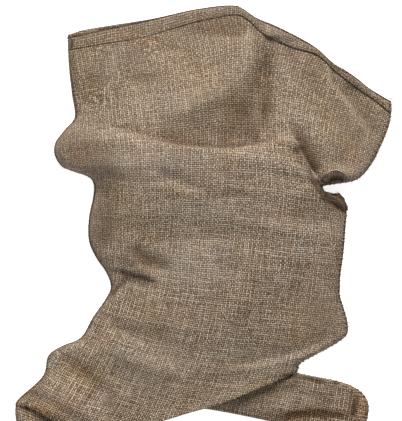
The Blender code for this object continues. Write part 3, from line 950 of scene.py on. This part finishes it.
def hessian():
    kit = NodeKit("juteHessian")
    uv = kit.add("UVMap", uv_map="weave")
    place = uv
    for scale, wander in weave["wander"]:
        centred = kit.vectors("SUBTRACT", kit.noise(uv, scale, 2.0, 0.55, "Color"), (0.5, 0.5, 0.5))
        place = kit.vectors("ADD", place, kit.vectors("MULTIPLY", centred, (wander,) * 3))
    scaled = kit.vectors("MULTIPLY", place, (1 / weave["pitch"],) * 3)
    # x counts the warp yarns, and y the weft
    x, y = (kit.add("SeparateXYZ", {0: scaled}, output) for output in (0, 1))
    openness = kit.attribute("open")
    warp = oneWay(kit, x, y, weave["seeds"]["warp"], openness)
    weft = oneWay(kit, y, x, weave["seeds"]["weft"], openness)
    over = kit.sums("SINE", x * math.pi) * kit.sums("SINE", y * math.pi)
    low = 1.0 - weave["onTop"]
    warpHeight = warp["bulge"] * (over * weave["onTop"] + low)
    weftHeight = weft["bulge"] * (over * -weave["onTop"] + low)
    warpOnTop = kit.sums("GREATER_THAN", warpHeight, weftHeight)
    height = kit.sums("MAXIMUM", warpHeight, weftHeight)

    def pick(key):
        return kit.add("Mix", {0: warpOnTop, 2: weft[key], 3: warp[key]}, data_type="FLOAT")

    ramp = kit.add("ValToRGB", {0: yarnTone(kit, pick, warp, weft, warpOnTop, openness, uv)})
    stops = ramp.socket.node.color_ramp.elements
    (stops[0].position, stops[0].color), middle, (stops[1].position, stops[1].color) = weave["ramp"]
    stops.new(middle[0]).color = middle[1]
    colour = castColours(kit, ramp, uv)
    # painted shade in the weave's gaps and along the yarns' edges where they dip
    filled = kit.between(height, *weave["holeHeights"], interpolation_type="SMOOTHSTEP")
    colour = kit.blend(filled, weave["holeShade"], colour)
    haze = kit.sums("MULTIPLY", kit.attribute("haze"), weave["haze"], clamp=True)
    colour = kit.blend(haze, colour, weave["hazeColour"])
    # painted shade: the dull patches and the cloth's darkness attribute pull the colour towards the shadow
    # colour
    dullAndShade = kit.attribute("dullAndShade") * weave["dullAndShade"]
    shadeShare = kit.sums("ADD", dullAndShade, kit.attribute("paintedShade") * weave["paintedShade"], clamp=True)
    colour = kit.blend(shadeShare, colour, kit.blend(1.0, colour, weave["shadow"], "MULTIPLY"))
    # painted light: the pale patches lighten the colour towards the lightest yarn tone
    pale = kit.attribute("pale") * weave["pale"]
    colour = kit.blend(pale, colour, kit.blend(1.0, colour, weave["ramp"][-1][1], "SCREEN"))
    kit.feed(kit.shader, {
        "Base Color": colour,
        "Roughness": 0.9,
        "Sheen Weight": 0.04,
        "Sheen Roughness": 0.6,
        "Specular IOR Level": 0.2,
    })
    fibre = kit.noise(uv, weave["fibreScale"])
    kit.bump(fibre * weave["fibreRelief"] + height, weave["bump"], weave["depth"])
    return kit.material


print("cloth")
rings, rowPlace = sackRings()
cloth = buildCloth(rings, rowPlace)
cloth.data.materials.append(hessian())
thick = cloth.modifiers.new("clothThickness", "SOLIDIFY")
thick.thickness = sack["hemThickness"] * mm
thick.vertex_group = "hem"
thick.thickness_vertex_group = sack["thickness"] / sack["hemThickness"]
thick.offset = -1.0
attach(cloth, "root")
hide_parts("sack_cloth")


def makeTubes(name, twine, tubes, sides, taper=0.35):
    # many thin tubes in one mesh, each with its path and radius
    points, faces, strands = [], [], []
    turns = np.linspace(0.0, 2.0 * math.pi, sides, endpoint=False)
    for number, (path, radius) in enumerate(tubes):
        path = np.asarray(path, float)
        run = unit(np.gradient(path, axis=0))
        side = unit(np.cross(run, (0.13, 0.21, 0.97)))  # a direction that no thread runs in
        upward = np.cross(side, run)
        thin = np.full(len(path), radius)
        thin[[0, -1]] = radius * taper
        loop = side[:, None] * np.cos(turns)[None, :, None] + upward[:, None] * np.sin(turns)[None, :, None]
        first = len(points)
        points += (path[:, None] + loop * thin[:, None, None]).reshape(-1, 3).tolist()
        for row in range(len(path) - 1):
            for turn in range(sides):
                here, after = first + row * sides + turn, first + row * sides + (turn + 1) % sides
                faces.append((here, after, after + sides, here + sides))
        last = first + (len(path) - 1) * sides
        faces += [tuple(range(first + sides - 1, first - 1, -1)), tuple(range(last, last + sides))]
        strands += [number] * (len(path) * sides)
    piece = makePiece(name, points, faces, {"strand": strands})
    piece.data.materials.append(twineMaterial(*twine))
    return piece


def twineMaterial(name, dark, light):
    kit = NodeKit(name)
    chance = kit.add("TexWhiteNoise", {"W": kit.attribute("strand")}, noise_dimensions="1D")
    fibre = kit.noise(kit.add("TexCoord", output="Object"), 900.0)
    share = kit.sums("ADD", chance * 0.5, fibre - 0.25, clamp=True)
    colour = kit.blend(share, (*dark, 1.0), (*light, 1.0))
    kit.feed(kit.shader, {"Base Color": colour, "Roughness": 0.9, "Specular IOR Level": 0.2})
    kit.bump(fibre, 0.5, 0.0006)
    return kit.material


def ringPoint(rings, row, index):
    # a point of the rings at a row that need not be a whole number
    low = min(int(row), len(rings) - 2)
    return rings[low, index] * (1.0 - (row - low)) + rings[low + 1, index] * (row - low)


seams = {
    "pitch": 0.0095,
    "unevenPitch": 0.2,
    "slant": 0.9,  # in rows of the cloth
    "thread": 0.00085,
    "proud": 0.0009,
    "leftSize": 0.5,
    "lowest": 0.0004,
    # a stitch over the edge: column counted from the edge, and how far it lifts and stands out
    "stitch": (
        (-2, -0.9, 0.0), (-2, 0.4, 0.0), (-1, 0.9, 0.0), (0, 1.0, 0.0),
        (1, 1.0, 0.6), (2, 0.7, 1.0), (3, 0.2, 1.1), (3, -0.2, 0.8),
    ),
    "twine": ("seamTwine", (0.17, 0.125, 0.085), (0.40, 0.31, 0.215)),
    "seed": 5,
}


def stitchRows(rings, index, random):
    # rows at an even pitch along one column, from the hem down to the last row but one
    along = lengthsAlong(rings[:, index])
    stops = np.arange(along[1] + 0.5 * seams["pitch"], along[-2], seams["pitch"])
    uneven = seams["unevenPitch"]
    stops += random.uniform(-uneven, uneven, len(stops)) * seams["pitch"]
    return np.interp(stops, along, np.arange(len(along)))


def seamStitches(rings):
    # twine whipped over both side edges
    random = np.random.default_rng(seams["seed"])
    stitch = seams["stitch"]
    tubes = []
    for seam, outward, size in ((0, -1, seams["leftSize"]), (sack["frontColumns"] - 1, 1, 1.0)):
        for row in stitchRows(rings, seam + 2 * outward, random):
            lean = seams["slant"] * random.uniform(0.7, 1.3)
            proud = seams["proud"] * size * random.uniform(0.8, 1.25)
            path = []
            for step, (column, lift, reach) in enumerate(stitch):
                place = min(row + lean * step / len(stitch), len(rings) - 1.001)
                point = ringPoint(rings, place, seam + column * outward)
                point[2] = max(point[2] + lift * proud, seams["lowest"])
                point[0] += outward * reach * proud
                path.append(point)
            tubes.append((path, size * seams["thread"] * random.uniform(0.8, 1.2)))
    return makeTubes("seamStitches", seams["twine"], tubes, 6)


hemStitch = {
    "pitch": 0.0088,
    "length": 0.0050,
    "thread": 0.0006,
    "up": 0.0052,  # from the hem's lower edge
    "ends": (0.006, 0.008),  # left bare at either end
    "slant": 0.0004,
    "lift": (-0.7, 0.35, 0.6, 0.35, -0.7),
    "twine": ("hemTwine", (0.10, 0.07, 0.045), (0.30, 0.22, 0.15)),
    "seed": 8,
}


def hemStitches(rings):
    # a run of short stitches that holds the hem down, a little above its lower edge
    random = np.random.default_rng(hemStitch["seed"])
    columns = sack["frontColumns"]
    depth = lengths(rings[1, :columns] - rings[hemStep, :columns])
    share = np.clip(hemStitch["up"] / np.maximum(depth, 1e-4), 0.05, 0.6)
    line = np.empty((columns, 3))
    for column in range(columns):
        strip = rings[1 : hemStep + 1, column][::-1]
        arc = lengthsAlong(strip)
        line[column] = [np.interp(share[column] * arc[-1], arc, strip[:, axis]) for axis in range(3)]
    along = lengthsAlong(line)
    first, last = hemStitch["ends"]
    slant = hemStitch["slant"]
    tubes = []
    for start in np.arange(first, along[-1] - last, hemStitch["pitch"]):
        length = hemStitch["length"] * random.uniform(0.8, 1.15)
        spots = start + np.linspace(0.0, length, 5) + random.uniform(-slant, slant)
        path = np.stack([np.interp(spots, along, line[:, axis]) for axis in range(3)], axis=1)
        path[:, 2] += np.array(hemStitch["lift"]) * mm
        path[:, 1] += np.linspace(-slant, slant, 5)
        tubes.append((path, hemStitch["thread"]))
    return makeTubes("hemStitches", hemStitch["twine"], tubes, 6)


fuzz = {
    "fibres": 1500,
    "edgeFibres": 230,
    "atMouth": 0.3,  # share of the edge fibres that stand along the mouth
    "radius": 0.00011,
    "length": (0.0035, 0.0085),
    "edgeLength": 0.8,
    "rise": (0.15, 0.6),
    "lowest": 0.0003,
    "twine": ("looseFibre", (0.38, 0.29, 0.20), (0.80, 0.66, 0.48)),
    "seed": 21,
}


def fuzzFibres(rings):
    # loose fibres on the cloth, and more of them along the edges, hem and seams
    random = np.random.default_rng(fuzz["seed"])
    columns, count = sack["frontColumns"], rings.shape[1]
    tubes = []
    for number in range(fuzz["fibres"] + fuzz["edgeFibres"]):
        atEdge = number >= fuzz["fibres"]
        row = random.uniform(0, len(rings) - 1.01)
        if atEdge and random.random() < fuzz["atMouth"]:
            row = random.uniform(0, 1.5)
            index = int(random.integers(2, columns - 2))
        elif atEdge:
            index = int(random.choice((0, count - 1, count - 2, columns - 1, columns, columns + 1)))
        else:
            index = int(random.integers(2, columns - 2))
        turn = random.uniform(0, 2 * math.pi)
        length = random.uniform(*fuzz["length"]) * (fuzz["edgeLength"] if atEdge else 1.0)
        rise = random.uniform(*fuzz["rise"])
        run = np.array((math.cos(turn), math.sin(turn), rise))
        bend = np.array((-math.sin(turn), math.cos(turn), -rise * 0.8)) * random.uniform(-0.6, 0.6)
        steps = np.linspace(0.0, 1.0, 4)[:, None]
        path = ringPoint(rings, row, index) + length * (run * steps + bend * steps**2)
        path[:, 2] = np.maximum(path[:, 2], fuzz["lowest"])
        tubes.append((path, fuzz["radius"] * random.uniform(0.7, 1.4)))
    return makeTubes("fuzzFibres", fuzz["twine"], tubes, 3, taper=0.5)


# Bundles of threads: points with their height above the cloth, spread, count, thickness and how far
# the ends stray, in millimetres, and the kind of thread.
bundles = {
    "notchTuft": (((206, 52, 1), (224, 48, 1), (238, 43, 2), (248, 30, 2)), 7, 260, 0.55, 4, "brown"),
    "notchSpike": (((236, 42, 2), (246, 36, 3), (254, 34, 3)), 1.6, 14, 0.35, 2, "brown"),
    # painted highlight: pale threads along the rim of the flap's curl, where it catches the light
    "notchLitRim": (((208, 85, 1.5), (218, 95, 2), (230, 98, 2), (244, 92, 2), (255, 83, 1.5)),
        0.8, 26, 0.42, 1.5, "pale"),
    "notchStrip": (((186, 98, 1), (196, 84, 1.5), (206, 74, 1)), 3, 40, 0.42, 1.5, "pale"),
    "footGather": (((286, -306, 1), (289, -318, 1), (286, -334, 1)), 2.5, 26, 0.42, 2, "red"),
    "footSeam": (((272, -297, 1), (270, -312, 1), (264, -334, 1)), 1.6, 24, 0.4, 1.5, "brown"),
    "footTuft": (((226, -277, 1), (232, -276, 1), (238, -279, 1)), 1.8, 16, 0.28, 3, "brown"),
    "notchCurl": (((224, 55, 2), (237, 55, 3), (245, 47, 3), (249, 33, 2)), 2.2, 90, 0.5, 3, "brown"),
    "pinch": (((215, 285, 1), (220, 263, 1), (224, 238, 1)), 0.5, 9, 0.35, 0.8, "pale"),
    "leftTail": (((-237, 330, 1), (-240, 336, 3), (-243, 343, 4), (-240, 348, 3)),
        0.7, 6, 0.3, 2, "pale"),
    "leftPinch": (((-236, 332, 1), (-232, 324, 1), (-234, 314, 1)), 1.8, 16, 0.34, 1.5, "brown"),
    "rightTail": (((326, 226, 1), (331, 224, 2), (334, 219, 2)), 0.9, 8, 0.3, 2.5, "brown"),
    "rightTuft": (((328, 224, 1), (329, 215, 1), (326, 207, 1)), 1.6, 14, 0.32, 2, "brown"),
}
bundleColours = {
    "brown": ((0.035, 0.022, 0.013), (0.17, 0.115, 0.07)),
    "red": ((0.10, 0.05, 0.035), (0.36, 0.22, 0.16)),
    "pale": ((0.24, 0.16, 0.12), (0.58, 0.44, 0.35)),
}


def clothHeight(surface, spots):
    # height of the cloth at these places, all in metres
    away = ((surface[None, :, :2] - spots[:, None, :2]) ** 2).sum(axis=2)
    near = np.argpartition(away, 3, axis=1)[:, :3]
    return surface[near, 2].mean(axis=1)


def threadBundles(kind, seed, rings):
    random = np.random.default_rng(seed)
    surface = rings[:, : sack["frontColumns"]].reshape(-1, 3)
    surface = surface[surface[:, 2] > 0.004]
    tubes = []
    for points, wide, count, thick, stray, colour in bundles.values():
        if colour != kind:
            continue
        line = np.array(points, float) + (*sack["frameShift"], 0.0)
        stops = np.linspace(0.0, 1.0, len(line))
        for _ in range(count):
            start, end = sorted(random.uniform(0.0, 1.0, 2))
            share = np.linspace(start, min(end + 0.35, 1.0), 7)
            path = np.stack([np.interp(share, stops, line[:, axis]) for axis in range(3)], axis=1)
            path += random.normal(0.0, 0.45 * wide, 3) * (1.0, 1.0, 0.35)
            bend = random.normal(0.0, 0.35 * stray, 3) * (1.0, 1.0, 0.5)
            path += bend * (np.linspace(-1.0, 1.0, 7)[:, None] ** 3)
            path *= mm
            path[:, 2] = np.maximum(path[:, 2] + clothHeight(surface, path), mm)
            tubes.append((path, thick * random.uniform(0.6, 1.3) * mm))
    return makeTubes(kind + "Threads", (kind + "Thread", *bundleColours[kind]), tubes, 5)


slubs = {
    # thick light stretches of yarn: place, direction in degrees, length and half thickness
    "places": (
        (-174, 228, 92, 34, 0.75), (-168, 236, 90, 26, 0.7), (-163, 222, 93, 30, 0.6),
        (-95, 312, 88, 16, 0.7), (-186, 212, 88, 22, 0.55), (-98, 268, 2, 22, 0.5),
        (-150, 262, 92, 20, 0.5), (-58, 248, 88, 16, 0.45), (150, 252, 84, 18, 0.45),
        (192, 226, 80, 20, 0.5), (-140, -196, 118, 34, 0.55), (-120, -214, 28, 38, 0.55),
        (-88, -224, 26, 30, 0.5), (-60, -240, 112, 26, 0.5), (-170, -250, 116, 24, 0.5),
        (-30, -150, 98, 22, 0.45), (34, -58, 92, 24, 0.45), (60, 20, 88, 20, 0.45),
        (104, -96, 92, 22, 0.45), (-20, 60, 2, 20, 0.4), (120, 66, 90, 22, 0.45), (150, -20, 1, 22, 0.4),
        (-86, 92, 3, 18, 0.4), (200, -180, 84, 26, 0.45),
    ),
    "proud": 0.15,
    "sunkEnd": -0.6,
    "waver": 0.25,
    "twine": ("slubYarn", (0.40, 0.31, 0.225), (0.64, 0.53, 0.40)),
    "seed": 3,
}


def slubYarns(rings):
    random = np.random.default_rng(slubs["seed"])
    surface = rings[hemStep + 1 :, : sack["frontColumns"]].reshape(-1, 3)
    waver = slubs["waver"]
    tubes = []
    for x, y, degrees, length, half in slubs["places"]:
        turn = math.radians(degrees)
        run = length * np.array((math.cos(turn), math.sin(turn)))
        path = []
        for step in np.linspace(-0.5, 0.5, 9):
            spot = (np.array((x, y)) + sack["frameShift"] + step * run) * mm
            height = clothHeight(surface, spot[None])[0]
            sink = slubs["sunkEnd"] if abs(step) > 0.45 else slubs["proud"]
            path.append((*(spot + random.uniform(-waver, waver, 2) * mm), height + sink * mm))
        tubes.append((path, half * mm))
    return makeTubes("slubYarns", slubs["twine"], tubes, 6)


print("twine and fibres")
trims = [seamStitches(rings), hemStitches(rings), slubYarns(rings), fuzzFibres(rings)]
trims += [threadBundles(kind, seed, rings) for seed, kind in enumerate(bundleColours)]
for trim in trims:
    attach(trim, "root")

# floor, lights and camera
studio = {
    "frameRows": 421,  # height of the frame that is rendered, in its own pixels
    "rowSpan": 0.00176,  # what one of them spans on the sack
    "middle": (-0.0042, 0.0308),
    "distance": 2.6,
    "plane": 0.02,  # height of the cloth that is seen at this span
    "sensor": 36.0,
    "world": 0.24,
    # lights: place, size and power
    "lights": {"key": ((0.3, 4.7, 4.1), 2.6, 545.0), "fill": ((-0.6, -1.8, 2.6), 2.2, 8.0)},
    "floorHalf": 6.0,
    "floorDrop": 0.0006,
    "floorColour": (0.88, 0.88, 0.875, 1.0),
    "floorGlow": 0.80,
}


def makeFloor():
    mesh = bpy.data.meshes.new("floor")
    half = studio["floorHalf"]
    corners = [(-half, -half, 0), (half, -half, 0), (half, half, 0), (-half, half, 0)]
    mesh.from_pydata(corners, [], [(0, 1, 2, 3)])
    floor = putInScene("floor", mesh)
    floor.location.z = -studio["floorDrop"]
    kit = NodeKit("paleFloor")
    kit.feed(kit.shader, {
        "Base Color": studio["floorColour"],
        "Roughness": 0.8,
        "Emission Color": (1.0, 1.0, 1.0, 1.0),
        "Emission Strength": studio["floorGlow"],
    })
    mesh.materials.append(kit.material)


def areaLight(name, place, size, power):
    light = bpy.data.lights.new(name, "AREA")
    light.size = size
    light.energy = power
    lamp = putInScene(name, light)
    lamp.location = place
    lamp.rotation_euler = (-Vector(place)).to_track_quat("-Z", "Y").to_euler()


def makeCamera():
    camera = putInScene("camera", bpy.data.cameras.new("camera"))
    camera.location = (*studio["middle"], studio["distance"])
    camera.data.sensor_width = studio["sensor"]
    seen = studio["frameRows"] * studio["rowSpan"]
    camera.data.lens = studio["sensor"] * (studio["distance"] - studio["plane"]) / seen
    bpy.context.scene.camera = camera


print("studio")
makeFloor()
for name, values in studio["lights"].items():
    areaLight(name, *values)
world = bpy.data.worlds.new("studio")
bpy.context.scene.world = world
world.use_nodes = True
background = world.node_tree.nodes["Background"]
background.inputs["Color"].default_value = (1.0, 1.0, 1.0, 1.0)
background.inputs["Strength"].default_value = studio["world"]
bpy.context.scene.view_settings.view_transform = "Standard"
makeCamera()
